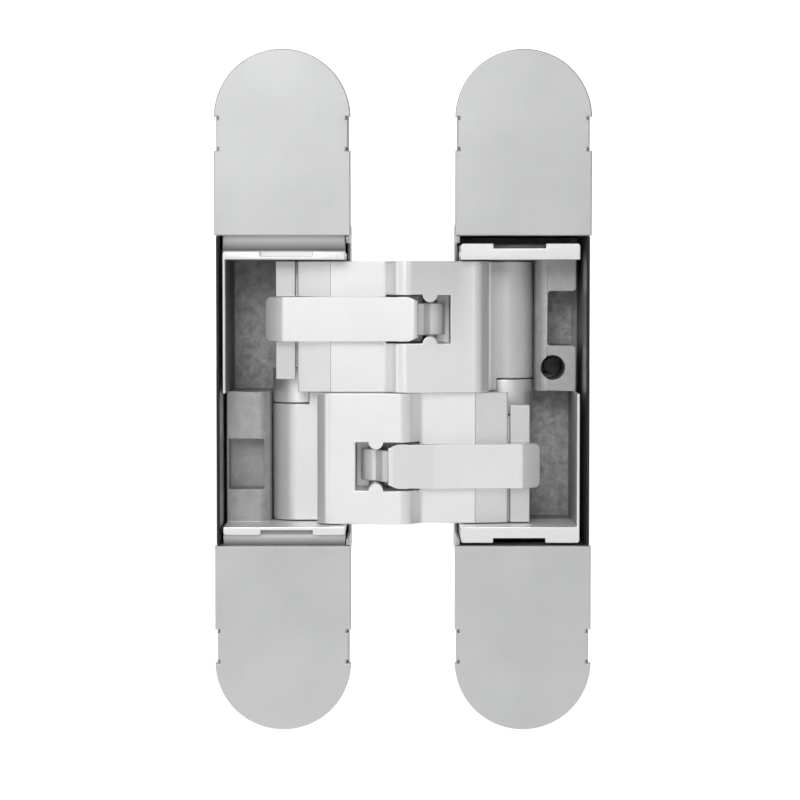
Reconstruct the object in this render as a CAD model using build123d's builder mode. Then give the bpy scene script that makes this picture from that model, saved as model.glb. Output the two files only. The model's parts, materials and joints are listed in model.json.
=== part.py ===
"""Concealed door hinge: two mortised leaves joined by a pair of crossed arms and two tie links.

Millimetres. X runs across the two leaves, Z runs up along the pins, and Y runs into the door edge.
The leaves are laid open side by side, the frame leaf at -X and the door leaf at +X. The sketches
measure depth from the front of the cover plates, and each piece is moved as it is saved, so that the
origin is the middle of the hinge's box. The door half of the working parts is the frame half turned
half a turn about the Y axis. The carriers and the linkage are drawn about the middle of the leaves, and
are lowered a little as they are saved.
"""
import math
import os

from build123d import *

os.makedirs("parts", exist_ok=True)

# Leaves and cover plates
leaf_width = 23.0
leaf_height = 115.0
leaf_spacing = 17.6
cover_length = 31.3
cover_thickness = 1.6
cover_edge_round = 0.25
waist_from_tip = 11.6
waist_length = 5.2
waist_depth = 0.4
nick_length = 0.5
nick_depth = 0.8
post_radius = 1.5
post_length = 2.4
post_from_tip = 6.0
post_clearance = 0.1

# Housings that are let into the frame and the door
flange_thickness = 3.4
flange_inset = 0.3
housing_depth = 26.6
housing_back_wall = 1.8
housing_side_wall = 0.5
housing_end_wall = 2.2
front_gap = 0.1
screw_from_opening = 11.8
screw_hole_radius = 2.3
screw_head_radius = 4.1

# Carriers that slide in the housings for adjustment
carrier_front = 0.5
carrier_side_gap = 0.15
frame_outer_gap = 0.5
carrier_back_gap = 0.1
carrier_back_wall = 1.7
carrier_side_wall = 0.5
carrier_inner_wall = 0.95
frame_end_clearance = 0.2
door_end_clearance = 0.4
end_block_height = 1.4
linkage_drop = 0.45
arm_floor = 18.7
plate_floor = 10.4
plate_round = 2.0
arm_passage_depth = 12.8
passage_margin = 0.4
shelf_gap = 0.2
shelf_thickness = 1.0
shelf_reach = 1.0
end_slot_width = 8.8
end_slot_x = 19.7
end_slot_height = 0.8
end_slot_depth = 6.0
recess_width = 6.1
recess_height = 8.6
recess_depth = 6.0
recess_from_edge = 0.4
recess_offset = 1.3
notch_width = 5.0
notch_height = 9.3
notch_round = 0.7
clamp_hole_radius = 2.1
clamp_hole_x = 25.9
clamp_hole_rise = 4.1

# Linkage, open: arm pins deep in the leaves, centre pin between them
arm_pin_x = 18.0
arm_pin_depth = 15.8
centre_pin_depth = 9.2
closed_gap = 6.5
eye_x = 4.6
eye_depth = 9.6
link_pin_x = 16.8

# Arms
arm_split = 0.1
arm_end_clearance = 0.2
arm_plate_front = 5.3
arm_plate_back = 8.8
arm_tip_x = 12.3
riser_foot_x = 3.0
riser_top_x = 1.2
riser_top_depth = 2.6
crest_x = 0.3
crest_depth = 2.2
knuckle_end_x = 11.3
knuckle_end_depth = 3.4
shoulder_x = 13.0
shoulder_depth = 3.5
elbow_x = 14.7
elbow_depth = 5.6
arm_back_depth = 12.3
leg_inner_x = 11.2
leg_foot_depth = 16.4
arm_barrel_radius = 4.7
centre_knuckle_radius = 4.2
window_left_x = 2.9
window_right_x = 8.1
window_height = 8.2
window_offset = 1.3
window_floor = 12.6
window_floor_thickness = 1.2
window_floor_margin = 0.4
boss_radius = 1.3
boss_height = 1.2
elbow_round = 2.0
crest_round = 2.4
riser_top_round = 1.8
riser_foot_round = 0.8

# Tie links
link_width = 7.6
link_front = 3.0
link_back = 5.0
link_end_x = 23.5
link_end_depth = 5.8
link_bend_x = 20.4
link_bend_depth = 3.5
link_crease_x = 5.2
link_nose_x = 3.6
link_nose_depth = 2.3
link_nose_flat_x = 2.2
link_nose_round = 1.2
link_skin = 0.4
link_eye_radius = 2.6
link_end_round = 1.0
link_taper_x = 0.9
link_taper_end_x = 3.4
link_undercut_x = -0.7
head_low = 2.2
head_left_x = 21.8
head_step_x = 18.0
head_groove = 0.4
head_groove_depth = 1.0
head_plate_front = 7.0
head_facet_left_depth = 6.7
head_facet_right_depth = 5.5
head_back_depth = 10.4
head_gap = 0.15
link_barrel_radius = 3.6

# Web in the carrier that parts the arm barrel from the link barrel
web_low = -2.0
web_high = 4.0
web_gap = 0.2
web_nose_gap = 0.3
web_root_width = 7.0

# Pins and bushes
arm_pin_radius = 2.0
link_pin_radius = 1.75
centre_pin_radius = 2.5
eye_pin_radius = 1.25
pin_clearance = 0.04
bush_wall = 0.8
eye_clearance = 0.2
pin_seat = 2.8
eye_pin_seat = 2.6

# Clamp screws
clamp_shank_radius = 1.0
clamp_head_radius = 1.4
clamp_head_height = 1.6
clamp_socket_width = 1.3
clamp_socket_depth = 0.9
height_travel = 2.0
side_travel = 0.9
clamp_seat = 2.3
frame_clamp_x = 12.6
frame_clamp_rise = 6.0
frame_clamp_end_gap = 5.2
clamp_slot_clearance = 0.3

# Sizes that follow from the ones above
leaf_centre = leaf_spacing / 2 + leaf_width / 2
leaf_inner = leaf_spacing / 2
tip_z = leaf_height / 2
opening_half = tip_z - cover_length
screw_rise = opening_half + screw_from_opening
frame_carrier_half = opening_half - height_travel - frame_end_clearance
door_carrier_half = opening_half - door_end_clearance - linkage_drop
cavity_half = frame_carrier_half - end_block_height
housing_floor = housing_depth - housing_back_wall
carrier_back = housing_floor - carrier_back_gap
link_floor = carrier_back - carrier_back_wall
clamp_floor = carrier_back - clamp_seat
wall_inner = leaf_inner + flange_inset
wall_outer = leaf_inner + leaf_width - flange_inset
carrier_inner = wall_inner + housing_side_wall + carrier_side_gap
frame_carrier_outer = wall_outer - housing_side_wall - frame_outer_gap
door_carrier_outer = wall_outer - housing_side_wall - carrier_side_gap - side_travel
shelf_front = cover_thickness + shelf_gap
shelf_back = shelf_front + shelf_thickness
recess_rise = cavity_half / 2 + recess_offset
arm_low = arm_split / 2
arm_high = cavity_half - arm_end_clearance
window_middle = (arm_low + arm_high) / 2 + window_offset
window_low = window_middle - window_height / 2
window_high = window_middle + window_height / 2
link_eye_width = window_height - 2 * (boss_height + eye_clearance)
eye_pin_low = window_low - eye_pin_seat
eye_pin_high = window_high + eye_pin_seat
passage_half = cavity_half + height_travel + passage_margin
housing_passage_depth = window_floor + window_floor_thickness + passage_margin

# The closed position sets the arm swing and the depth of the link pin
arm_rise = arm_pin_depth - centre_pin_depth
closed_drop = arm_pin_depth + closed_gap / 2
closed_run = math.sqrt(arm_pin_x**2 + arm_rise**2 - closed_drop**2)
arm_swing = math.atan2(closed_drop, closed_run) - math.atan2(arm_rise, arm_pin_x)
far_turn = math.pi - arm_swing
centre_closed_x = closed_run - arm_pin_x
eye_out = eye_depth - centre_pin_depth
eye_closed_x = centre_closed_x + eye_x * math.cos(far_turn) + eye_out * math.sin(far_turn)
eye_closed_depth = -closed_gap / 2 - eye_x * math.sin(far_turn) + eye_out * math.cos(far_turn)
eye_shift_x = eye_closed_x - eye_x
eye_shift_depth = eye_closed_depth - eye_depth
eye_middle_x = (eye_closed_x + eye_x) / 2
eye_middle_depth = (eye_closed_depth + eye_depth) / 2
link_pin_depth = eye_middle_depth + (link_pin_x + eye_middle_x) * eye_shift_x / eye_shift_depth
eye_radius_open = math.atan2(eye_depth - link_pin_depth, eye_x + link_pin_x)
eye_radius_closed = math.atan2(eye_closed_depth - link_pin_depth, eye_closed_x + link_pin_x)
link_swing = eye_radius_open - eye_radius_closed
print("arm swing", round(math.degrees(arm_swing), 4), "link swing", round(math.degrees(link_swing), 4))
print("link pin depth", round(link_pin_depth, 4))

tip_radius = math.hypot(arm_tip_x + eye_x, eye_depth - arm_plate_front)
head_radius = tip_radius + head_gap
arm_bore_radius = arm_pin_radius + bush_wall
link_bore_radius = link_pin_radius + bush_wall
centre_bore_radius = centre_pin_radius + bush_wall


def arc_x(radius, depth):
    """X of a circle of this radius about the link eye, on its left side, at this depth."""
    return eye_x - math.sqrt(radius**2 - (eye_depth - depth) ** 2)


def front_plane(depth):
    """Front view plane at this depth: X to the right, Z up, and its normal out of the leaf."""
    return Plane.XZ.offset(-depth)


def box_between(x_range, y_range, z_range, mode=Mode.ADD):
    """Block between two corners, in the part being built."""
    size = [abs(pair[1] - pair[0]) for pair in (x_range, y_range, z_range)]
    middle = [(pair[1] + pair[0]) / 2 for pair in (x_range, y_range, z_range)]
    with Locations(tuple(middle)):
        Box(*size, mode=mode)


def upright(radius, x, depth, low, high, mode=Mode.ADD):
    """Upright cylinder at X and depth, from low to high, in the part being built."""
    with Locations((x, depth, (low + high) / 2)):
        Cylinder(radius, high - low, mode=mode)


def pair_x(side, first, second):
    """X range on the frame side (-1) or the door side (1)."""
    return (side * first, side * second)


def save(piece, name, drop=0.0):
    """Label one piece and write it, lowered, with the origin in the middle of the hinge's depth."""
    with BuildPart() as placed:
        with Locations((0, -housing_depth / 2, -drop)):
            add(piece)
    placed.part.label = name
    export_step(placed.part, f"parts/{name}.step")


# Cover plates: stamped plates with a round end, clipped on the flanges by two posts
def make_cover(side, end):
    waist_middle = tip_z - waist_from_tip - waist_length / 2
    with BuildPart() as cover:
        with BuildSketch(front_plane(0)):
            with Locations((side * leaf_centre, end * (tip_z - leaf_width / 2))):
                Circle(leaf_width / 2)
            straight = cover_length - leaf_width / 2
            with Locations((side * leaf_centre, end * (opening_half + straight / 2))):
                Rectangle(leaf_width, straight)
            for edge in (-1, 1):
                edge_x = side * leaf_centre + edge * leaf_width / 2
                with Locations((edge_x, end * waist_middle)):
                    Rectangle(2 * waist_depth, waist_length, mode=Mode.SUBTRACT)
                for stop in (-1, 1):
                    with Locations((edge_x, end * (waist_middle + stop * waist_length / 2))):
                        Rectangle(2 * nick_depth, nick_length, mode=Mode.SUBTRACT)
        extrude(amount=-cover_thickness)
        fillet(cover.faces().sort_by(Axis.Y)[0].edges(), cover_edge_round)
        with BuildSketch(front_plane(cover_thickness)):
            for post_z in (tip_z - post_from_tip, opening_half + post_from_tip):
                with Locations((side * leaf_centre, end * post_z)):
                    Circle(post_radius)
        extrude(amount=-post_length)
    return cover.part


covers = {
    "frame_top_cover": make_cover(-1, 1),
    "frame_bottom_cover": make_cover(-1, -1),
    "door_top_cover": make_cover(1, 1),
    "door_bottom_cover": make_cover(1, -1),
}
for name, cover_part in covers.items():
    save(cover_part, name)


# Housings: cast trays with a screw flange at each end and a passage for the arms in the inner wall
def make_housing(side, clamp_points, has_shelf_pockets):
    end_outer = opening_half + housing_end_wall
    with BuildPart() as housing:
        box_between(
            pair_x(side, wall_inner, wall_outer), (cover_thickness, housing_depth), (-end_outer, end_outer)
        )
        front_half = opening_half - front_gap
        box_between(pair_x(side, wall_inner, wall_outer), (0, cover_thickness), (-front_half, front_half))
        with BuildSketch(front_plane(cover_thickness)):
            flange_radius = leaf_width / 2 - flange_inset
            for end in (-1, 1):
                with Locations((side * leaf_centre, end * (tip_z - leaf_width / 2))):
                    Circle(flange_radius)
                flange_straight = cover_length - leaf_width / 2
                with Locations((side * leaf_centre, end * (opening_half + flange_straight / 2))):
                    Rectangle(2 * flange_radius, flange_straight)
        extrude(amount=-flange_thickness)
        tray_range = pair_x(side, wall_inner + housing_side_wall, wall_outer - housing_side_wall)
        box_between(
            tray_range, (-cover_thickness, housing_floor), (-opening_half, opening_half), Mode.SUBTRACT
        )
        if has_shelf_pockets:
            # Pockets behind the cover plates for the shelves of the frame carrier
            pocket_half = opening_half + shelf_reach + height_travel + shelf_gap
            box_between(
                tray_range,
                (cover_thickness, shelf_back + shelf_gap),
                (-pocket_half, pocket_half),
                Mode.SUBTRACT,
            )
        box_between(
            pair_x(side, wall_inner - housing_side_wall, wall_inner + 2 * housing_side_wall),
            (-cover_thickness, housing_passage_depth),
            (-passage_half, passage_half),
            Mode.SUBTRACT,
        )
        for end in (-1, 1):
            with Locations(front_plane(cover_thickness)):
                with Locations((side * leaf_centre, end * screw_rise)):
                    CounterSinkHole(screw_hole_radius, screw_head_radius, flange_thickness)
        with BuildSketch(front_plane(cover_thickness)):
            for post_z in (tip_z - post_from_tip, opening_half + post_from_tip):
                for end in (-1, 1):
                    with Locations((side * leaf_centre, end * post_z)):
                        Circle(post_radius + post_clearance)
        extrude(amount=-flange_thickness, mode=Mode.SUBTRACT)
        with BuildSketch(front_plane(housing_floor)):
            with Locations(*clamp_points):
                Circle(clamp_shank_radius)
        extrude(amount=-housing_back_wall, mode=Mode.SUBTRACT)
    return housing.part


frame_clamp_rises = (frame_clamp_rise, cavity_half - frame_clamp_end_gap)
frame_clamp_points = [(-frame_clamp_x, -rise) for rise in frame_clamp_rises]
door_clamp_points = [(clamp_hole_x + side_travel / 2, clamp_hole_rise - linkage_drop)]
save(make_housing(-1, frame_clamp_points, True), "frame_housing")
save(make_housing(1, door_clamp_points, False), "door_housing")


# Carriers: cast cradles that hold the pins; the arm half has a shallow floor, the link half a deep one
def make_carrier(half, carrier_outer, is_frame):
    """Carrier of this half height and outer side, with the arm in its lower half and the link above."""
    cavity_outer = -(carrier_outer - carrier_side_wall)
    cavity_inner = -(carrier_inner + carrier_inner_wall)
    with BuildPart() as carrier:
        box_between((-carrier_outer, -carrier_inner), (carrier_front, carrier_back), (-half, half))
        fillet(carrier.edges().filter_by(Axis.Y), cover_edge_round * 2)
        # Arm half: a shallow plate open to its outer side, then a round trough for the arm barrel
        trough_radius = arm_barrel_radius + web_nose_gap
        plate_inner = -arm_pin_x - trough_radius
        box_between((-carrier_outer, plate_inner), (0, plate_floor), (-cavity_half, 0), Mode.SUBTRACT)
        box_between((plate_inner, cavity_inner), (0, arm_pin_depth), (-cavity_half, 0), Mode.SUBTRACT)
        box_between((-arm_pin_x, cavity_inner), (0, arm_floor), (-cavity_half, 0), Mode.SUBTRACT)
        upright(trough_radius, -arm_pin_x, arm_pin_depth, -cavity_half, 0, Mode.SUBTRACT)
        plate_edge = (plate_inner, plate_floor, -cavity_half / 2)
        fillet(carrier.edges().filter_by(Axis.Z).sort_by_distance(plate_edge)[0], plate_round)
        # Link half
        box_between((cavity_outer, cavity_inner), (0, link_floor), (0, cavity_half), Mode.SUBTRACT)
        # Web between the halves, with a round nose in front of the pins
        upright(arm_barrel_radius, -arm_pin_x, arm_pin_depth, web_low, web_high)
        box_between(
            (-arm_pin_x - web_root_width / 2, -arm_pin_x + web_root_width / 2),
            (arm_pin_depth, carrier_back),
            (web_low, web_high),
        )
        # Low inner wall where the arms cross it
        box_between(
            (-carrier_inner - 2 * carrier_inner_wall, 0),
            (0, arm_passage_depth),
            (-cavity_half, cavity_half),
            Mode.SUBTRACT,
        )
        # Pin seats
        upright(arm_pin_radius, -arm_pin_x, arm_pin_depth, -half, web_low + pin_seat, Mode.SUBTRACT)
        upright(link_pin_radius, -link_pin_x, link_pin_depth, web_high - pin_seat, half, Mode.SUBTRACT)
        # Shallow slot in the outer face of each end block
        for end in (-1, 1):
            box_between(
                (-end_slot_x - end_slot_width / 2, -end_slot_x + end_slot_width / 2),
                (0, carrier_front + end_slot_depth),
                (end * (half - end_slot_height), end * (half + end_slot_height)),
                Mode.SUBTRACT,
            )
        if is_frame:
            # Shelf behind each cover plate's edge, that closes the gap left for the height travel
            for end in (-1, 1):
                box_between(
                    (-carrier_outer, -carrier_inner),
                    (shelf_front, shelf_back),
                    (end * (half - end_slot_height), end * (opening_half + shelf_reach)),
                )
            # Square recess in the plate of the arm half, and upright slots for the clamp screws
            recess_left = -carrier_outer + recess_from_edge
            box_between(
                (recess_left, recess_left + recess_width),
                (0, plate_floor + recess_depth),
                (-recess_rise - recess_height / 2, -recess_rise + recess_height / 2),
                Mode.SUBTRACT,
            )
            head_slot_length = 2 * (height_travel + clamp_head_radius + clamp_slot_clearance)
            head_slot_width = 2 * (clamp_head_radius + clamp_slot_clearance)
            shank_slot_length = 2 * (height_travel + clamp_shank_radius + clamp_slot_clearance)
            shank_slot_width = 2 * (clamp_shank_radius + clamp_slot_clearance)
            with BuildSketch(front_plane(0)):
                with Locations(*frame_clamp_points):
                    SlotOverall(head_slot_length, head_slot_width, rotation=90)
            extrude(amount=-clamp_floor, mode=Mode.SUBTRACT)
            with BuildSketch(front_plane(clamp_floor)):
                with Locations(*frame_clamp_points):
                    SlotOverall(shank_slot_length, shank_slot_width, rotation=90)
            extrude(amount=-(carrier_back - clamp_floor), mode=Mode.SUBTRACT)
        else:
            # Notch open to the outer side, and a round clamp hole with a slot behind it
            box_between(
                (-carrier_outer, -carrier_outer + notch_width),
                (0, link_floor),
                (-recess_rise - notch_height / 2, -recess_rise + notch_height / 2),
                Mode.SUBTRACT,
            )
            for corner_x in (-carrier_outer, -carrier_outer + notch_width):
                for corner_z in (-recess_rise - notch_height / 2, -recess_rise + notch_height / 2):
                    corner = (corner_x, (plate_floor + link_floor) / 2, corner_z)
                    fillet(carrier.edges().filter_by(Axis.Y).sort_by_distance(corner)[0], notch_round)
            with BuildSketch(front_plane(0)):
                with Locations((-clamp_hole_x, -clamp_hole_rise)):
                    Circle(clamp_hole_radius)
            extrude(amount=-clamp_floor, mode=Mode.SUBTRACT)
            slot_length = side_travel + 2 * (clamp_shank_radius + clamp_slot_clearance)
            with BuildSketch(front_plane(clamp_floor)):
                with Locations((-clamp_hole_x, -clamp_hole_rise)):
                    SlotOverall(slot_length, 2 * (clamp_shank_radius + clamp_slot_clearance))
            extrude(amount=-(carrier_back - clamp_floor), mode=Mode.SUBTRACT)
    return carrier.part


def turned(piece):
    """The same piece turned half a turn about the Y axis, onto the other leaf."""
    with BuildPart() as copy:
        add(piece, rotation=(0, 180, 0))
    return copy.part


frame_carrier = make_carrier(frame_carrier_half, frame_carrier_outer, True)
door_carrier = turned(make_carrier(door_carrier_half, door_carrier_outer, False))
save(frame_carrier, "frame_carrier", linkage_drop)
save(door_carrier, "door_carrier", linkage_drop)


# Arms: cast cranked levers; the door arm is the upper one, on the door pin and the centre pin
with BuildPart() as door_arm:
    with BuildSketch(Plane.XY.offset(arm_low)):
        with BuildLine():
            tip_front = (-arm_tip_x, arm_plate_front)
            tip_back = (arc_x(tip_radius, arm_plate_back), arm_plate_back)
            tip_middle_depth = (arm_plate_front + arm_plate_back) / 2
            tip_middle = (arc_x(tip_radius, tip_middle_depth), tip_middle_depth)
            Polyline(
                tip_front,
                (-riser_foot_x, arm_plate_front),
                (-riser_top_x, riser_top_depth),
                (crest_x, crest_depth),
                (knuckle_end_x, knuckle_end_depth),
                (shoulder_x, shoulder_depth),
                (elbow_x, elbow_depth),
                (elbow_x, arm_pin_depth - arm_barrel_radius),
                (arm_pin_x, arm_pin_depth - arm_barrel_radius),
                (arm_pin_x, arm_pin_depth),
                (leg_inner_x + carrier_inner_wall, leg_foot_depth),
                (leg_inner_x, arm_back_depth),
                (0, arm_back_depth),
                (-centre_knuckle_radius, arm_plate_back),
                tip_back,
            )
            ThreePointArc(tip_back, tip_middle, tip_front)
        make_face()
        with Locations((0, centre_pin_depth)):
            Circle(centre_knuckle_radius)
        with Locations((arm_pin_x, arm_pin_depth)):
            Circle(arm_barrel_radius)
    extrude(amount=arm_high - arm_low)
    rounded_corners = (
        (elbow_x, elbow_depth, elbow_round),
        (shoulder_x, shoulder_depth, elbow_round),
        (crest_x, crest_depth, crest_round),
        (-riser_top_x, riser_top_depth, riser_top_round),
        (-riser_foot_x, arm_plate_front, riser_foot_round),
    )
    for corner_x, corner_depth, corner_round in rounded_corners:
        corner = (corner_x, corner_depth, (arm_low + arm_high) / 2)
        fillet(door_arm.edges().filter_by(Axis.Z).sort_by_distance(corner)[0], corner_round)
    # Pad behind the window, then the window itself, with a round boss on each end for the eye pin
    box_between(
        (-centre_knuckle_radius, window_right_x + window_floor_margin),
        (centre_pin_depth, window_floor + window_floor_thickness),
        (arm_low, arm_high),
    )
    with BuildSketch(front_plane(0)):
        with Locations(((window_right_x - window_left_x) / 2, window_middle)):
            Rectangle(window_right_x + window_left_x, window_height)
        for boss_middle in (window_low + boss_height - boss_radius, window_high - boss_height + boss_radius):
            with Locations((eye_x, boss_middle)):
                Circle(boss_radius, mode=Mode.SUBTRACT)
    extrude(amount=-window_floor, mode=Mode.SUBTRACT)
    # Relief around the web of the door carrier
    relief_radius = arm_barrel_radius + web_nose_gap
    upright(relief_radius, arm_pin_x, arm_pin_depth, arm_low, -web_low + web_gap, Mode.SUBTRACT)
    # Bores
    upright(arm_bore_radius, arm_pin_x, arm_pin_depth, arm_low, arm_high, Mode.SUBTRACT)
    upright(centre_bore_radius, 0, centre_pin_depth, arm_low, window_low, Mode.SUBTRACT)
    upright(eye_pin_radius, eye_x, eye_depth, eye_pin_low, eye_pin_high, Mode.SUBTRACT)
save(door_arm.part, "door_arm", linkage_drop)
save(turned(door_arm.part), "frame_arm", linkage_drop)


# Tie links: the frame link is the upper one, from the frame carrier round the arm's tip into its window
with BuildPart() as frame_link:
    strip_low = window_middle - link_width / 2
    strip_high = strip_low + link_width
    face_right = (arc_x(head_radius, head_facet_right_depth), head_facet_right_depth)
    nose_tip_depth = link_nose_depth + link_eye_radius / 2
    # Strip across the front, bent back at its left end and hooked down to the eye
    with BuildSketch(Plane.XY.offset(strip_low)):
        with BuildLine():
            Polyline(
                (-link_end_x, link_end_depth),
                (-link_bend_x, link_bend_depth),
                (-link_crease_x, link_front),
                (link_nose_flat_x, link_nose_depth),
                (link_nose_x, nose_tip_depth),
                (eye_x, eye_depth - link_eye_radius),
                (eye_x, eye_depth),
                (eye_x - link_eye_radius, eye_depth),
                (link_nose_x - link_eye_radius, link_back),
                (face_right[0], link_back),
                face_right,
                (-head_step_x, head_back_depth),
                (-link_end_x, head_plate_front),
                close=True,
            )
        make_face()
    extrude(amount=link_width)
    strip_end = frame_link.faces().sort_by(Axis.X)[0]
    fillet(strip_end.edges().filter_by(Axis.Y), link_end_round)
    for nose_x, nose_depth in ((link_nose_flat_x, link_nose_depth), (link_nose_x, nose_tip_depth)):
        corner = (nose_x, nose_depth, window_middle)
        fillet(frame_link.edges().filter_by(Axis.Z).sort_by_distance(corner)[0], link_nose_round)
    # Eye around the pin in the arm's window, narrower than the strip to pass between the bosses
    eye_low = window_middle - link_eye_width / 2
    upright(link_eye_radius, eye_x, eye_depth, eye_low, eye_low + link_eye_width)
    eye_high = eye_low + link_eye_width
    with BuildSketch(front_plane(0)):
        for edge, shoulder in ((strip_low, eye_low), (strip_high, eye_high)):
            with BuildLine():
                Polyline(
                    (link_taper_x, edge),
                    (link_taper_end_x, shoulder),
                    (window_right_x, shoulder),
                    (window_right_x, edge),
                    close=True,
                )
            make_face()
    extrude(amount=-housing_depth, mode=Mode.SUBTRACT)
    # Undercut behind the nose, so that the bosses pass under its edges as the link turns
    for edge_range in ((strip_low, eye_low), (eye_high, strip_high)):
        box_between(
            (link_undercut_x, window_right_x),
            (link_nose_depth + link_skin, housing_depth),
            edge_range,
            Mode.SUBTRACT,
        )
    # Tall head beside the arm's tip, carried down to the barrel on the link pin
    with BuildSketch(Plane.XY.offset(head_low)):
        with BuildLine():
            foot_right = (arc_x(head_radius, link_pin_depth), link_pin_depth)
            face_middle = (arc_x(head_radius, eye_depth), eye_depth)
            Polyline(
                foot_right,
                (-link_pin_x, link_pin_depth),
                (-link_pin_x - link_barrel_radius, link_pin_depth),
                (-head_left_x, head_back_depth),
                (-head_left_x, head_plate_front),
                (-head_step_x - head_groove, head_plate_front),
                (-head_step_x - head_groove, head_plate_front + head_groove_depth),
                (-head_step_x, head_plate_front + head_groove_depth),
                (-head_step_x, head_facet_left_depth),
                face_right,
            )
            ThreePointArc(face_right, face_middle, foot_right)
        make_face()
    extrude(amount=arm_high - head_low)
    # Lip of the head beside the arm's tip, as tall as the arm
    with BuildSketch(Plane.XY.offset(arm_low)):
        with BuildLine():
            lip_back = head_plate_front + head_groove_depth
            lip_right = (arc_x(head_radius, lip_back), lip_back)
            lip_middle_depth = (head_facet_right_depth + head_plate_front) / 2
            Polyline(
                lip_right,
                (-head_step_x, lip_back),
                (-head_step_x, head_facet_left_depth),
                face_right,
            )
            ThreePointArc(face_right, (arc_x(head_radius, lip_middle_depth), lip_middle_depth), lip_right)
        make_face()
    extrude(amount=head_low - arm_low)
    upright(link_barrel_radius, -link_pin_x, link_pin_depth, head_low, arm_high)
    # Relief around the web, and the bores
    web_reach = math.hypot(arm_pin_x - link_pin_x, arm_pin_depth - link_pin_depth) + arm_barrel_radius
    relief_radius = web_reach + web_nose_gap
    upright(relief_radius, -link_pin_x, link_pin_depth, head_low, web_high + web_gap, Mode.SUBTRACT)
    upright(link_bore_radius, -link_pin_x, link_pin_depth, head_low, arm_high, Mode.SUBTRACT)
    upright(eye_pin_radius + eye_clearance, eye_x, eye_depth, eye_low, eye_high, Mode.SUBTRACT)
save(frame_link.part, "frame_link", linkage_drop)
save(turned(frame_link.part), "door_link", linkage_drop)


# Pins and bushes: turned steel pins, and sleeves pressed in the moving barrels
def make_pin(radius, x, depth, low, high):
    with BuildPart() as pin:
        upright(radius, x, depth, low, high)
        chamfer(pin.edges().filter_by(GeomType.CIRCLE), radius / 8)
    return pin.part


def make_bush(bore, x, depth, low, high):
    with BuildPart() as bush:
        upright(bore + bush_wall, x, depth, low, high)
        upright(bore + pin_clearance, x, depth, low, high, Mode.SUBTRACT)
    return bush.part


frame_arm_pin = make_pin(
    arm_pin_radius, -arm_pin_x, arm_pin_depth, -frame_carrier_half, web_low + pin_seat
)
door_arm_pin = turned(
    make_pin(arm_pin_radius, -arm_pin_x, arm_pin_depth, -door_carrier_half, web_low + pin_seat)
)
frame_link_pin = make_pin(
    link_pin_radius, -link_pin_x, link_pin_depth, web_high - pin_seat, frame_carrier_half
)
door_link_pin = turned(
    make_pin(link_pin_radius, -link_pin_x, link_pin_depth, web_high - pin_seat, door_carrier_half)
)
centre_pin = make_pin(centre_pin_radius, 0, centre_pin_depth, -window_low, window_low)
upper_eye_pin = make_pin(eye_pin_radius, eye_x, eye_depth, eye_pin_low, eye_pin_high)
lower_eye_pin = turned(upper_eye_pin)
frame_arm_bush = make_bush(arm_pin_radius, -arm_pin_x, arm_pin_depth, -arm_high, web_low - web_gap)
door_arm_bush = turned(frame_arm_bush)
frame_link_bush = make_bush(link_pin_radius, -link_pin_x, link_pin_depth, web_high + web_gap, arm_high)
door_link_bush = turned(frame_link_bush)
upper_centre_bush = make_bush(centre_pin_radius, 0, centre_pin_depth, arm_low, window_low)
lower_centre_bush = turned(upper_centre_bush)


# Clamp screws: small socket heads that hold each carrier on the back wall of its housing
def make_clamp_screws(points):
    with BuildPart() as screws:
        with BuildSketch(front_plane(clamp_floor - clamp_head_height)):
            with Locations(*points):
                Circle(clamp_head_radius)
        extrude(amount=-clamp_head_height)
        with BuildSketch(front_plane(clamp_floor)):
            with Locations(*points):
                Circle(clamp_shank_radius)
        extrude(amount=-(housing_depth - clamp_floor))
        with BuildSketch(front_plane(clamp_floor - clamp_head_height)):
            with Locations(*points):
                RegularPolygon(clamp_socket_width / math.sqrt(3), 6)
        extrude(amount=-clamp_socket_depth, mode=Mode.SUBTRACT)
    return screws.part


save(make_clamp_screws(frame_clamp_points), "frame_clamp_screws")
save(make_clamp_screws(door_clamp_points), "door_clamp_screw")

pins_and_bushes = {
    "frame_arm_pin": frame_arm_pin,
    "door_arm_pin": door_arm_pin,
    "frame_link_pin": frame_link_pin,
    "door_link_pin": door_link_pin,
    "centre_pin": centre_pin,
    "upper_eye_pin": upper_eye_pin,
    "lower_eye_pin": lower_eye_pin,
    "frame_arm_bush": frame_arm_bush,
    "door_arm_bush": door_arm_bush,
    "frame_link_bush": frame_link_bush,
    "door_link_bush": door_link_bush,
    "upper_centre_bush": upper_centre_bush,
    "lower_centre_bush": lower_centre_bush,
}
for name, turned_piece in pins_and_bushes.items():
    save(turned_piece, name, linkage_drop)
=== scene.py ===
"""Concealed door hinge, laid open: cast leaves, cover plates and the folding linkage between them."""
import json
import math

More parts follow.
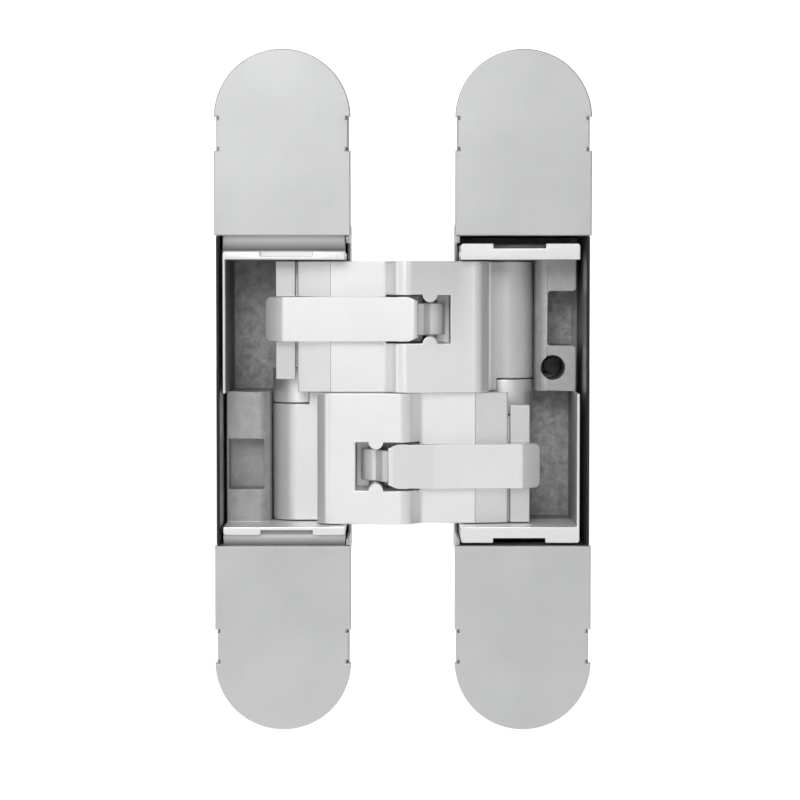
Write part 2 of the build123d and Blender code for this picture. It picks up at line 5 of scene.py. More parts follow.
import bmesh
import bpy
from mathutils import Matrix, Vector


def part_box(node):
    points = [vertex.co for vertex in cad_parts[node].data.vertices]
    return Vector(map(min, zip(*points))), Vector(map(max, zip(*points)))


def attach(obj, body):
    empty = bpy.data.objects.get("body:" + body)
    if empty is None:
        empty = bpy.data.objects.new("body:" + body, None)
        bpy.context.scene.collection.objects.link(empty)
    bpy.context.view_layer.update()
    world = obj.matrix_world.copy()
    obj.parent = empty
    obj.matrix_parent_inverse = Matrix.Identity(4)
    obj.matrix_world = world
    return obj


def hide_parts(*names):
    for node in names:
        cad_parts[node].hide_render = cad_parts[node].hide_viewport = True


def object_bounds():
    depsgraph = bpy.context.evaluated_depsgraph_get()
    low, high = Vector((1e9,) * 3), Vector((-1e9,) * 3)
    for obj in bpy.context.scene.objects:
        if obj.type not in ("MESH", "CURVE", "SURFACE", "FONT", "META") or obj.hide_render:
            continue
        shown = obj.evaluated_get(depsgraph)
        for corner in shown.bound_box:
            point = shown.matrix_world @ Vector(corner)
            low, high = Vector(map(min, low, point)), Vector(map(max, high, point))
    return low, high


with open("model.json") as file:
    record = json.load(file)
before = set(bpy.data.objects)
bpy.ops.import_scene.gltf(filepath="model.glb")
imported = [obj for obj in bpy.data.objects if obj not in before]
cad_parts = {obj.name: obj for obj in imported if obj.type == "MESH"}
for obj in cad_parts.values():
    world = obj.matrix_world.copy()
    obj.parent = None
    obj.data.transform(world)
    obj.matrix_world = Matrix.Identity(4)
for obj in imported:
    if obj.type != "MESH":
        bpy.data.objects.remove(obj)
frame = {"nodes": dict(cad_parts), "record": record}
cad_low, cad_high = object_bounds()

# Housings: die-cast zinc trays that are let into the frame and the door, plated grey all over.
# Their flanges lie behind the cover plates. Their outer front rims beside the carriers are painted nearly
# black as painted shade, and their hollows are painted darker as painted shade where little is open around
# them.
# Each is one casting, with its edges broken by tumbling.
housing_edge_round = 0.00012
housing_rim_depth = 0.0013
housing_rim_fade = 0.0003
housing_outer_side = 0.0200
housing_side_fade = 0.0010
housing_grey = (0.50, 0.50, 0.505, 1.0)
housing_dull = (0.40, 0.40, 0.405, 1.0)
housing_hollow_shade = (0.20, 0.20, 0.203, 1.0)
housing_rim_shade = (0.035, 0.035, 0.037, 1.0)


def node_body(node):
    """Name of the body that carries a node of the frame."""
    for body, members in frame["record"]["behaviour"]["bodies"].items():
        if node in members:
            return body


def face_width(face):
    """Rough width of a face: its area over its longest side."""
    return face.calc_area() / max(edge.calc_length() for edge in face.edges)


def room_beside(edge, face):
    """How far a face reaches from one of its edges."""
    start = edge.verts[0].co
    along = (edge.verts[1].co - start).normalized()
    return max((vert.co - start - along * along.dot(vert.co - start)).length for vert in face.verts)


def rounded_casting(node, name, edge_round, steps, material, joint=None, round_inside=False):
    """A finished copy of a node with its sharp edges broken, in place of the plain one.

    A joint face is given by its axis, its radius and how far it is brought out; its edges stay sharp.
    Inner corners stay sharp too, unless they are to be rounded inside.
    """
    weld_distance = 2e-7
    sliver_length = 3e-6
    flat_angle = math.radians(0.4)
    facet_angle = math.radians(1)
    crease_angle = math.radians(28)
    facet_width = 0.0011
    strip_width = 0.0005
    joint_tolerance = 1e-5
    share_of_room = 0.4
    shape = bmesh.new()
    shape.from_mesh(frame["nodes"][node].data)
    bmesh.ops.remove_doubles(shape, verts=shape.verts, dist=weld_distance)
    bmesh.ops.dissolve_degenerate(shape, dist=sliver_length, edges=shape.edges)
    bmesh.ops.dissolve_limit(
        shape, angle_limit=flat_angle, verts=shape.verts, edges=shape.edges, use_dissolve_boundaries=False
    )
    joint_corners = set()
    if joint:
        axis, radius, brought_out = joint
        for vert in shape.verts:
            spoke = vert.co.xy - axis
            if abs(spoke.length - radius) < joint_tolerance:
                vert.co.xy = axis + spoke * (radius + brought_out) / radius
                joint_corners.add(vert)
    weight = shape.edges.layers.float.new("bevel_weight_edge")
    for edge in shape.edges:
        turn = edge.calc_face_angle(0.0)
        widths = [face_width(face) for face in edge.link_faces]
        corner = turn > crease_angle
        between_facets = not corner and turn > facet_angle and min(widths) > facet_width
        free = max(widths) > strip_width and not joint_corners.issuperset(edge.verts)
        broken = free and (corner and (round_inside or edge.is_convex) or between_facets)
        edge.smooth = broken or not corner
        if broken:
            room = min(room_beside(edge, face) for face in edge.link_faces)
            edge[weight] = min(1.0, share_of_room * room / edge_round)
    for face in shape.faces:
        face.smooth = face_width(face) < facet_width or all(edge.smooth for edge in face.edges)
    mesh = bpy.data.meshes.new(name + "_blank")
    shape.to_mesh(mesh)
    shape.free()
    rough = bpy.data.objects.new(name + "_blank", mesh)
    bpy.context.scene.collection.objects.link(rough)
    bevel = rough.modifiers.new("Broken edges", "BEVEL")
    bevel.limit_method = "WEIGHT"
    bevel.width = edge_round
    bevel.segments = steps
    bevel.use_clamp_overlap = False
    even = rough.modifiers.new("Flat faces stay flat", "WEIGHTED_NORMAL")
    even.keep_sharp = True
    settled = bpy.context.evaluated_depsgraph_get()
    finished = bpy.data.meshes.new_from_object(rough.evaluated_get(settled), depsgraph=settled)
    bpy.data.objects.remove(rough)
    piece = bpy.data.objects.new(name, finished)
    bpy.context.scene.collection.objects.link(piece)
    finished.materials.clear()
    finished.materials.append(material)
    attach(piece, node_body(node))
    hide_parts(node)


def place_node(tree, kind, **settings):
    """Adds one node, sets its properties, then its inputs by name or number."""
    node = tree.nodes.new(kind)
    inputs = settings.pop("inputs", {})
    for key, value in settings.items():
        setattr(node, key, value)
    for key, value in inputs.items():
        node.inputs[key].default_value = value
    return node


def group_tree(name, inputs, outputs):
    """Empty shader node group with float inputs (name, default) and outputs (name, socket type)."""
    tree = bpy.data.node_groups.new(name, "ShaderNodeTree")
    for label, value in inputs:
        socket = tree.interface.new_socket(label, in_out="INPUT", socket_type="NodeSocketFloat")
        socket.default_value = value
    for label, kind in outputs:
        tree.interface.new_socket(label, in_out="OUTPUT", socket_type=kind)
    return tree, tree.nodes.new("NodeGroupInput"), tree.nodes.new("NodeGroupOutput")


# Skin of a raw casting: flow marks, finer pits, and how far the surface lies open to the outside, by which
# shade is painted into hollows
pits_per_mark = 1.7
cast_skin_and_shade, skin_in, skin_out = group_tree(
    "Cast skin and shade", [("Skin Scale", 900.0), ("Reach", 0.004)],
    [("Mottle", "NodeSocketFloat"), ("Pits", "NodeSocketFloat"), ("Open", "NodeSocketFloat")],
)
where = place_node(cast_skin_and_shade, "ShaderNodeTexCoord")
flow = place_node(
    cast_skin_and_shade, "ShaderNodeTexNoise", inputs={"Detail": 6.0, "Roughness": 0.68, "Distortion": 0.4}
)
pits = place_node(cast_skin_and_shade, "ShaderNodeTexVoronoi", feature="SMOOTH_F1", inputs={"Smoothness": 0.4})
shade = place_node(cast_skin_and_shade, "ShaderNodeAmbientOcclusion", samples=8, only_local=True)
pit_scale = place_node(cast_skin_and_shade, "ShaderNodeMath", operation="MULTIPLY", inputs={1: pits_per_mark})
cast_skin_and_shade.links.new(where.outputs["Object"], flow.inputs["Vector"])
cast_skin_and_shade.links.new(where.outputs["Object"], pits.inputs["Vector"])
cast_skin_and_shade.links.new(skin_in.outputs["Skin Scale"], flow.inputs["Scale"])
cast_skin_and_shade.links.new(skin_in.outputs["Skin Scale"], pit_scale.inputs[0])
cast_skin_and_shade.links.new(pit_scale.outputs[0], pits.inputs["Scale"])
cast_skin_and_shade.links.new(skin_in.outputs["Reach"], shade.inputs["Distance"])
cast_skin_and_shade.links.new(flow.outputs["Fac"], skin_out.inputs["Mottle"])
cast_skin_and_shade.links.new(pits.outputs["Distance"], skin_out.inputs["Pits"])
cast_skin_and_shade.links.new(shade.outputs["AO"], skin_out.inputs["Open"])


def blank_material(name, metallic, specular):
    """New material with its Principled shader, ready for its colour, roughness and bump."""
    material = bpy.data.materials.new(name)
    material.use_nodes = True
    shader = material.node_tree.nodes["Principled BSDF"]
    shader.inputs["Metallic"].default_value = metallic
    shader.inputs["Specular IOR Level"].default_value = specular
    return material, material.node_tree, shader


def ramp(tree, source, stops):
    """Colour ramp fed by a socket: stops are (position, colour)."""
    node = tree.nodes.new("ShaderNodeValToRGB")
    for index, (position, colour) in enumerate(stops):
        stop = node.color_ramp.elements[index] if index < 2 else node.color_ramp.elements.new(position)
        stop.position = position
        stop.color = colour
    tree.links.new(source, node.inputs["Fac"])
    return node.outputs["Color"]


def span(tree, source, low, high):
    """Maps a 0 to 1 value onto a range."""
    node = place_node(tree, "ShaderNodeMapRange", inputs={"To Min": low, "To Max": high})
    tree.links.new(source, node.inputs["Value"])
    return node.outputs["Result"]


def blend_colours(tree, mode, factor, first, second):
    """Mixes two colours, each a socket or a plain colour; the factor is a socket or a number."""
    node = place_node(tree, "ShaderNodeMix", data_type="RGBA", blend_type=mode)
    for socket, value in ((node.inputs[0], factor), (node.inputs[6], first), (node.inputs[7], second)):
        if isinstance(value, bpy.types.NodeSocket):
            tree.links.new(value, socket)
        else:
            socket.default_value = value
    return node.outputs[2]


def bump(tree, shader, height, strength, distance):
    """Bump from a height socket onto the shader's normal."""
    node = place_node(tree, "ShaderNodeBump", inputs={"Strength": strength, "Distance": distance})
    tree.links.new(height, node.inputs["Height"])
    tree.links.new(node.outputs["Normal"], shader.inputs["Normal"])


def place_group(tree, group, **inputs):
    """Places a node group, with its input values by name (spaces as underscores)."""
    node = tree.nodes.new("ShaderNodeGroup")
    node.node_tree = group
    for key, value in inputs.items():
        node.inputs[key.replace("_", " ")].default_value = value
    return node


def place_along(tree, axis, from_middle=False):
    """Place of the surface along one axis of the hinge, or its distance from the middle of that axis."""
    place = place_node(tree, "ShaderNodeTexCoord")
    split = place_node(tree, "ShaderNodeSeparateXYZ")
    tree.links.new(place.outputs["Object"], split.inputs["Vector"])
    if not from_middle:
        return split.outputs[axis]
    size = place_node(tree, "ShaderNodeMath", operation="ABSOLUTE")
    tree.links.new(split.outputs[axis], size.inputs[0])
    return size.outputs[0]


def past(tree, source, start, end):
    """0 at the start value and 1 at the end value, and held beyond both."""
    mask = place_node(tree, "ShaderNodeMapRange", inputs={"From Min": start, "From Max": end})
    tree.links.new(source, mask.inputs["Value"])
    return mask.outputs["Result"]


def behind(tree, start, end):
    """0 at one depth behind the fronts of the cover plates and 1 at another, and held beyond both."""
    return past(tree, place_along(tree, "Y"), cad_low.y + start, cad_low.y + end)


def either(tree, first, second):
    """Where at least one of two masks is set."""
    larger = place_node(tree, "ShaderNodeMath", operation="MAXIMUM")
    tree.links.new(first, larger.inputs[0])
    tree.links.new(second, larger.inputs[1])
    return larger.outputs[0]


housing_plating_shaded, tree, shader = blank_material("housing_plating_shaded", metallic=0.9, specular=0.5)
skin = place_group(tree, cast_skin_and_shade, Skin_Scale=700.0, Reach=0.005)
mottle = ramp(tree, skin.outputs["Mottle"], ((0.32, housing_dull), (0.68, housing_grey)))
# Painted shade: hollows darken where little is open around them.
shaded = blend_colours(tree, "MIX", skin.outputs["Open"], housing_hollow_shade, mottle)
inner_side = past(
    tree, place_along(tree, "X", from_middle=True), housing_outer_side, housing_outer_side - housing_side_fade
)
# Painted shade: the outer front rims, away from the middle, are painted nearly black.
below_rim = behind(tree, housing_rim_depth, housing_rim_depth + housing_rim_fade)
rim_shaded = blend_colours(tree, "MIX", either(tree, below_rim, inner_side), housing_rim_shade, shaded)
tree.links.new(rim_shaded, shader.inputs["Base Color"])
tree.links.new(span(tree, skin.outputs["Mottle"], low=0.58, high=0.38), shader.inputs["Roughness"])
bump(tree, shader, skin.outputs["Pits"], strength=0.25, distance=0.0001)
for leaf in ("frame", "door"):
    rounded_casting(
        f"{leaf}_housing", f"{leaf}_housing_tray", housing_edge_round, 2, housing_plating_shaded
    )

# Carriers: die-cast zinc cradles that slide in the housings and hold the linkage's deep pins.
# Their front edges are bright from trimming, and their hollows keep the dull grey skin of the mould.
# Painted shade darkens tight hollows, the upper left wall and bands on the end shelves; painted light
# brightens the round, smoother web between the pins, the faces at the bottom ends and slots in the shelves.
carrier_edge_round = 0.0002
# Painted light: the end and web colours. Painted shade: the dark hollow and wall colours.
carrier_bright = (0.86, 0.86, 0.86, 1.0)
carrier_end_lit = (0.97, 0.97, 0.97, 1.0)
carrier_plate = (0.52, 0.52, 0.525, 1.0)
carrier_plate_dull = (0.43, 0.43, 0.435, 1.0)
carrier_hollow = (0.62, 0.62, 0.625, 1.0)
carrier_hollow_dull = (0.31, 0.31, 0.313, 1.0)
carrier_hollow_shade = (0.17, 0.17, 0.173, 1.0)
carrier_web_lit = (0.97, 0.97, 0.97, 1.0)
carrier_wall_shade = (0.20, 0.20, 0.202, 1.0)
wall_side = -0.0297
wall_fade = 0.0001
wall_foot = (-0.0006, -0.0004)
bright_depth = (0.0016, 0.0008)
plate_depth = (0.0167, 0.0190)
end_face_depth = (0.0165, 0.0145)
end_face_height = -0.02295
shelf_rise = 0.0227
shelf_drop = -0.0232
shelf_top = 0.0262
level_fade = 0.00005
# Painted light and shade along the end shelves, as (height, grey): bright slots, dark bands by blocks and
# covers.
shelf_light_and_shade = (
    (-0.0262, 0.18), (-0.0246, 0.75), (-0.0244, 0.35), (-0.0227, 0.35),
    (0.0227, 0.95), (0.0235, 0.95), (0.0236, 0.10), (0.0262, 0.72),
)
barrel_seat_radius = 0.0050
barrel_gap = 0.0003
barrel_gap_seen = 0.00006
web_radius = 0.0047
web_reach = 0.0046
web_fade = 0.0002


def overlap(tree, first, second):
    """Where two masks overlap."""
    both = place_node(tree, "ShaderNodeMath", operation="MULTIPLY")
    tree.links.new(first, both.inputs[0])
    tree.links.new(second, both.inputs[1])
    return both.outputs[0]


def web_mask(tree):
    """1 on the round web about the arm pins, near the middle of the hinge's height, and 0 elsewhere."""
    pin_low, pin_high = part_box("door_arm_pin")
    pin_axis = (pin_low + pin_high) / 2
    flat = place_node(tree, "ShaderNodeCombineXYZ")
    reach = place_node(
        tree, "ShaderNodeVectorMath", operation="DISTANCE", inputs={1: (pin_axis.x, pin_axis.y, 0.0)}
    )
    tree.links.new(place_along(tree, "X", from_middle=True), flat.inputs["X"])
    tree.links.new(place_along(tree, "Y"), flat.inputs["Y"])
    tree.links.new(flat.outputs["Vector"], reach.inputs[0])
    near = past(tree, reach.outputs["Value"], web_radius + web_fade, web_radius)
    level = past(tree, place_along(tree, "Z", from_middle=True), web_reach + web_fade, web_reach)
    return overlap(tree, near, level)


carrier_casting_lit_and_shaded, tree, shader = blank_material("carrier_casting_lit_and_shaded", metallic=0.7, specular=0.5)
skin = place_group(tree, cast_skin_and_shade, Skin_Scale=620.0, Reach=0.006)
hollow = ramp(tree, skin.outputs["Mottle"], ((0.34, carrier_hollow_dull), (0.66, carrier_hollow)))
openness = span(tree, skin.outputs["Open"], low=0.45, high=1.0)
# Painted shade: hollows darken where little is open around them.
hollow_shaded = blend_colours(tree, "MIX", openness, carrier_hollow_shade, hollow)
plate = ramp(tree, skin.outputs["Mottle"], ((0.34, carrier_plate_dull), (0.66, carrier_plate)))
inside = blend_colours(tree, "MIX", behind(tree, *plate_depth), plate, hollow_shaded)
height = place_along(tree, "Z")
# Painted shade on the inner face of the upper left wall, which faces away from the light.
upper_wall = overlap(
    tree, past(tree, place_along(tree, "X"), wall_side, wall_side - wall_fade), past(tree, height, *wall_foot)
)
wall_shaded = blend_colours(tree, "MIX", upper_wall, inside, carrier_wall_shade)
# Painted light: the faces at the bottom ends are painted near white, as if lit from above.
lit_end_faces = overlap(
    tree, past(tree, height, end_face_height, end_face_height - level_fade), behind(tree, *end_face_depth)
)
end_lit = blend_colours(tree, "MIX", lit_end_faces, wall_shaded, carrier_end_lit)
# Painted light and shade on the shelves at both ends of each carrier.
along_shelf = past(tree, height, -shelf_top, shelf_top)
shelf_stops = [((level / shelf_top + 1.0) / 2.0, (grey, grey, grey, 1.0)) for level, grey in shelf_light_and_shade]
shelf_painted_tone = ramp(tree, along_shelf, shelf_stops)
shelves = either(
    tree, past(tree, height, shelf_rise, shelf_rise + level_fade),
    past(tree, height, shelf_drop, shelf_drop - level_fade),
)
shelf_painted = blend_colours(tree, "MIX", shelves, end_lit, shelf_painted_tone)
front = behind(tree, *bright_depth)
cast = blend_colours(tree, "MIX", front, shelf_painted, carrier_bright)
# Painted light: the round web between the pins is painted near white.
web = web_mask(tree)
tree.links.new(blend_colours(tree, "MIX", web, cast, carrier_web_lit), shader.inputs["Base Color"])
tree.links.new(span(tree, either(tree, front, web), low=0.52, high=0.38), shader.inputs["Roughness"])
bump(tree, shader, skin.outputs["Pits"], strength=0.2, distance=0.00008)
for leaf in ("frame", "door"):
    pin_low, pin_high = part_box(f"{leaf}_arm_pin")
    barrel_seat = (((pin_low + pin_high) / 2).xy, barrel_seat_radius, barrel_gap_seen - barrel_gap)
    rounded_casting(
        f"{leaf}_carrier", f"{leaf}_carrier_cradle", carrier_edge_round, 2, carrier_casting_lit_and_shaded,
        joint=barrel_seat,
    )

# Cover plates: thin zinc plates with a round end, blasted and plated to a pale satin.
# They clip over the screw flanges by posts on their backs.
cover_silver = (0.60, 0.605, 0.61, 1.0)
cover_shade = (0.555, 0.56, 0.565, 1.0)
sparkle_dim = (0.95, 0.95, 0.95, 1.0)
sparkle_full = (1.0, 1.0, 1.0, 1.0)

# Fine grain of a blasted and plated surface: a close grain, and slow clouds across the face
satin_grain, grain_in, grain_out = group_tree(
    "Satin grain", [("Grain Scale", 5200.0), ("Cloud Scale", 70.0)],
    [("Grain", "NodeSocketFloat"), ("Cloud", "NodeSocketFloat")],
)
where = place_node(satin_grain, "ShaderNodeTexCoord")
fine = place_node(satin_grain, "ShaderNodeTexNoise", inputs={"Detail": 3.0, "Roughness": 0.6})
slow = place_node(satin_grain, "ShaderNodeTexNoise", inputs={"Detail": 4.0, "Roughness": 0.55})
for noise, scale, result in ((fine, "Grain Scale", "Grain"), (slow, "Cloud Scale", "Cloud")):
    satin_grain.links.new(where.outputs["Object"], noise.inputs["Vector"])
    satin_grain.links.new(grain_in.outputs[scale], noise.inputs["Scale"])
    satin_grain.links.new(noise.outputs["Fac"], grain_out.inputs[result])


def satin_material(name, pale, shade_colour, roughness, metallic, grain_scale, grain_depth):
    """Blasted and plated surface: slow clouds of colour, and a fine, very shallow grain that sparkles."""
    roughness_spread = 0.06
    material, tree, shader = blank_material(name, metallic, specular=0.5)
    grain = place_group(tree, satin_grain, Grain_Scale=grain_scale)
    clouds = ramp(tree, grain.outputs["Cloud"], ((0.35, shade_colour), (0.65, pale)))
    sparkle = ramp(tree, grain.outputs["Grain"], ((0.3, sparkle_dim), (0.7, sparkle_full)))
    uneven = span(tree, grain.outputs["Grain"], roughness - roughness_spread, roughness + roughness_spread)
    tree.links.new(blend_colours(tree, "MULTIPLY", 1.0, clouds, sparkle), shader.inputs["Base Color"])
    tree.links.new(uneven, shader.inputs["Roughness"])
    bump(tree, shader, grain.outputs["Grain"], strength=0.3, distance=grain_depth)
    return material


cover_satin = satin_material(
    "cover_satin", cover_silver, cover_shade,
    roughness=0.46, metallic=0.92, grain_scale=4200.0, grain_depth=0.00003,
)
for leaf in ("frame", "door"):
    for end in ("top", "bottom"):
        plate = frame["nodes"][f"{leaf}_{end}_cover"]
        plate.data.materials.clear()
        plate.data.materials.append(cover_satin)

# Arms: two crossed cranked levers of cast zinc, plated bright satin, one above the other on the centre pin.
# Each has a blind window for the opposite link, and a long barrel that turns on a deep pin.
# Painted shade darkens the upper arm's barrel, and in part its knuckle.
arm_edge_round = 0.0002
arm_silver = (0.96, 0.96, 0.96, 1.0)
arm_shade = (0.92, 0.92, 0.92, 1.0)
arm_tip_side = 0.0123
arm_tip_depth = 0.0053
# Painted shade for the upper arm's knuckle and barrel, and the places it covers.
arm_painted_shade = (0.60, 0.60, 0.605, 1.0)
shaded_barrel_sides = (0.0151, 0.0200)
knuckle_shade_sides = (0.0012, 0.0120)
shade_side_rise = 0.0003
shade_side_fade = 0.0030
knuckle_shade_height = (0.0060, 0.0215)
knuckle_shade_share = 0.65
arm_satin_shaded = satin_material(
    "arm_satin_shaded", arm_silver, arm_shade,
    roughness=0.38, metallic=0.6, grain_scale=3600.0, grain_depth=0.00003,
)
tree = arm_satin_shaded.node_tree
shader = tree.nodes["Principled BSDF"]
bright_arm = shader.inputs["Base Color"].links[0].from_socket


def shade_stretch(tree, start, end):
    """1 from one place along X, fading out towards another."""
    side = place_along(tree, "X")
    return overlap(
        tree, past(tree, side, start, start + shade_side_rise), past(tree, side, end, end - shade_side_fade)
    )


# Painted shade over the upper arm's knuckle and barrel.
knuckle_shade = overlap(
    tree, shade_stretch(tree, *knuckle_shade_sides), past(tree, place_along(tree, "Z"), *knuckle_shade_height)
)
dull = either(
    tree, shade_stretch(tree, *shaded_barrel_sides), span(tree, knuckle_shade, low=0.0, high=knuckle_shade_share)
)
tree.links.new(blend_colours(tree, "MIX", dull, bright_arm, arm_painted_shade), shader.inputs["Base Color"])


def tip_joint(level):
    """Axis of the link eye on one level, and the radius about it of the arm's tip."""
    pin_low, pin_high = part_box(f"{level}_eye_pin")
    axis = ((pin_low + pin_high) / 2).xy
    tip = Vector((-math.copysign(arm_tip_side, axis.x), cad_low.y + arm_tip_depth))
    return axis, (tip - axis).length


for leaf, level in (("frame", "lower"), ("door", "upper")):
    eye_axis, tip_radius = tip_joint(level)
    rounded_casting(
        f"{leaf}_arm", f"{leaf}_arm_lever", arm_edge_round, 3, arm_satin_shaded,
        joint=(eye_axis, tip_radius, 0.0), round_inside=True,
    )

# Tie links: narrow cast hooks that reach from a carrier, round the opposite arm's tip, into its window.
# They share the arms' plating, and the plates at their heads, deep in the carriers, are greyer.
link_edge_round = 0.00018
link_silver = (0.95, 0.95, 0.95, 1.0)
link_shade = (0.91, 0.91, 0.91, 1.0)
tip_gap = 0.00015
tip_gap_seen = 0.00003
head_plate_side = 0.0176
head_plate_depth = 0.0062
head_side_fade = 0.0003
head_depth_fade = 0.0004
head_plate_grey = (0.72, 0.72, 0.725, 1.0)
link_satin = satin_material(
    "link_satin", link_silver, link_shade,
    roughness=0.36, metallic=0.6, grain_scale=3900.0, grain_depth=0.00002,
)
tree = link_satin.node_tree
shader = tree.nodes["Principled BSDF"]
bright_flat = shader.inputs["Base Color"].links[0].from_socket
head_plate = overlap(
    tree,
    past(tree, place_along(tree, "X", from_middle=True), head_plate_side, head_plate_side + head_side_fade),
    behind(tree, head_plate_depth, head_plate_depth + head_depth_fade),
)
headed = blend_colours(tree, "MIX", head_plate, bright_flat, head_plate_grey)
tree.links.new(headed, shader.inputs["Base Color"])
for leaf, level in (("frame", "upper"), ("door", "lower")):
    eye_axis, tip_radius = tip_joint(level)
    rounded_casting(
        f"{leaf}_link", f"{leaf}_link_hook", link_edge_round, 3, link_satin,
        joint=(eye_axis, tip_radius + tip_gap, tip_gap_seen - tip_gap), round_inside=True,
    )

# Pins and bushes: ground steel pins in plain bronze sleeves, pressed in at assembly and then out of sight.
# Turning leaves fine rings around both.
pin_steel_pale = (0.62, 0.62, 0.64, 1.0)
pin_steel_dull = (0.48, 0.48, 0.50, 1.0)
bush_bronze = (0.62, 0.46, 0.25, 1.0)
bush_dull = (0.44, 0.31, 0.16, 1.0)


def turned_material(name, pale, dull, roughness):
    """Turned metal: rings along the pin's length in colour and height."""
    roughness_spread = 0.12
    material, tree, shader = blank_material(name, metallic=1.0, specular=0.5)
    place = place_node(tree, "ShaderNodeTexCoord")
    rings = place_node(
        tree, "ShaderNodeTexWave", bands_direction="Z",
        inputs={"Scale": 900.0, "Distortion": 1.2, "Detail": 2.0, "Detail Scale": 2.0},
    )
    tree.links.new(place.outputs["Object"], rings.inputs["Vector"])
    tree.links.new(ramp(tree, rings.outputs["Fac"], ((0.2, dull), (0.8, pale))), shader.inputs["Base Color"])
    uneven = span(tree, rings.outputs["Fac"], roughness, roughness + roughness_spread)
    tree.links.new(uneven, shader.inputs["Roughness"])
    bump(tree, shader, rings.outputs["Fac"], strength=0.2, distance=0.00002)
    return material


pin_steel = turned_material("pin_steel", pin_steel_pale, pin_steel_dull, roughness=0.22)
bush_metal = turned_material("bush_bronze", bush_bronze, bush_dull, roughness=0.34)
pins = ["centre_pin", "upper_eye_pin", "lower_eye_pin"]
bushes = ["upper_centre_bush", "lower_centre_bush"]
for leaf in ("frame", "door"):
    for role in ("arm", "link"):
        pins.append(f"{leaf}_{role}_pin")
        bushes.append(f"{leaf}_{role}_bush")
for names, metal in ((pins, pin_steel), (bushes, bush_metal)):
    for node in names:
        turning = frame["nodes"][node].data
        turning.materials.clear()
        turning.materials.append(metal)

# Clamp screws: small socket-head screws of dark plated steel that hold each carrier on its housing.
# They stand in slots of the carrier, which let it shift before they are tightened.
screw_dark = (0.05, 0.05, 0.052, 1.0)
screw_worn = (0.12, 0.12, 0.122, 1.0)
screw_sizes = {
    "Head Radius": 0.0014,
    "Head Height": 0.0016,
    "Shank Radius": 0.0010,
    "Shank Length": 0.0042,
    "Socket Radius": 0.00075,
    "Socket Depth": 0.0009,
}
screws_on_node = {"frame_clamp_screws": 2, "door_clamp_screw": 1}
screw_metal = satin_material(
    "screw_dark_steel", screw_worn, screw_dark,
    roughness=0.42, metallic=1.0, grain_scale=3000.0, grain_depth=0.00002,
)

screw_tree = bpy.data.node_groups.new("Clamp screws", "GeometryNodeTree")
screw_tree.interface.new_socket("Places", in_out="INPUT", socket_type="NodeSocketGeometry")
screw_tree.interface.new_socket("Screws", in_out="OUTPUT", socket_type="NodeSocketGeometry")
for label, size in screw_sizes.items():
    socket = screw_tree.interface.new_socket(label, in_out="INPUT", socket_type="NodeSocketFloat")
    socket.default_value = size
screw_in = screw_tree.nodes.new("NodeGroupInput")
screw_out = screw_tree.nodes.new("NodeGroupOutput")


def upright_rod(radius, length, top, corners):
    """Rod in the screw's tree, hanging down from nought, or below a top; the sizes are sockets."""
    rod = place_node(screw_tree, "GeometryNodeMeshCylinder", inputs={"Vertices": corners})
    half = place_node(screw_tree, "ShaderNodeMath", operation="MULTIPLY", inputs={1: -0.5})
    drop = place_node(screw_tree, "ShaderNodeMath", operation="SUBTRACT", inputs={1: 0.0})
    shift = place_node(screw_tree, "ShaderNodeCombineXYZ")
    moved = place_node(screw_tree, "GeometryNodeTransform")
    screw_tree.links.new(radius, rod.inputs["Radius"])
    screw_tree.links.new(length, rod.inputs["Depth"])
    screw_tree.links.new(length, half.inputs[0])
    screw_tree.links.new(half.outputs[0], drop.inputs[0])
    if top:
        screw_tree.links.new(top, drop.inputs[1])
    screw_tree.links.new(drop.outputs[0], shift.inputs["Z"])
    screw_tree.links.new(rod.outputs["Mesh"], moved.inputs["Geometry"])
    screw_tree.links.new(shift.outputs["Vector"], moved.inputs["Translation"])
    return moved.outputs["Geometry"]


sizes_in = screw_in.outputs
head = upright_rod(sizes_in["Head Radius"], sizes_in["Head Height"], top=None, corners=48)
socket_pit = upright_rod(sizes_in["Socket Radius"], sizes_in["Socket Depth"], top=None, corners=6)
shank = upright_rod(
    sizes_in["Shank Radius"], sizes_in["Shank Length"], top=sizes_in["Head Height"], corners=32
)
sunk = place_node(screw_tree, "GeometryNodeMeshBoolean", operation="DIFFERENCE")
whole = place_node(screw_tree, "GeometryNodeJoinGeometry")
facing = place_node(
    screw_tree, "GeometryNodeTransform", inputs={"Rotation": (math.radians(90.0), 0.0, 0.0)}
)
spread = place_node(screw_tree, "GeometryNodeInstanceOnPoints")
solid = place_node(screw_tree, "GeometryNodeRealizeInstances")
coated = place_node(screw_tree, "GeometryNodeSetMaterial", inputs={"Material": screw_metal})
screw_tree.links.new(head, sunk.inputs["Mesh 1"])
screw_tree.links.new(socket_pit, sunk.inputs["Mesh 2"])
screw_tree.links.new(sunk.outputs["Mesh"], whole.inputs["Geometry"])
screw_tree.links.new(shank, whole.inputs["Geometry"])
screw_tree.links.new(whole.outputs["Geometry"], facing.inputs["Geometry"])
screw_tree.links.new(sizes_in["Places"], spread.inputs["Points"])
screw_tree.links.new(facing.outputs["Geometry"], spread.inputs["Instance"])
screw_tree.links.new(spread.outputs["Instances"], solid.inputs["Geometry"])
screw_tree.links.new(solid.outputs["Geometry"], coated.inputs["Geometry"])
screw_tree.links.new(coated.outputs["Geometry"], screw_out.inputs["Screws"])

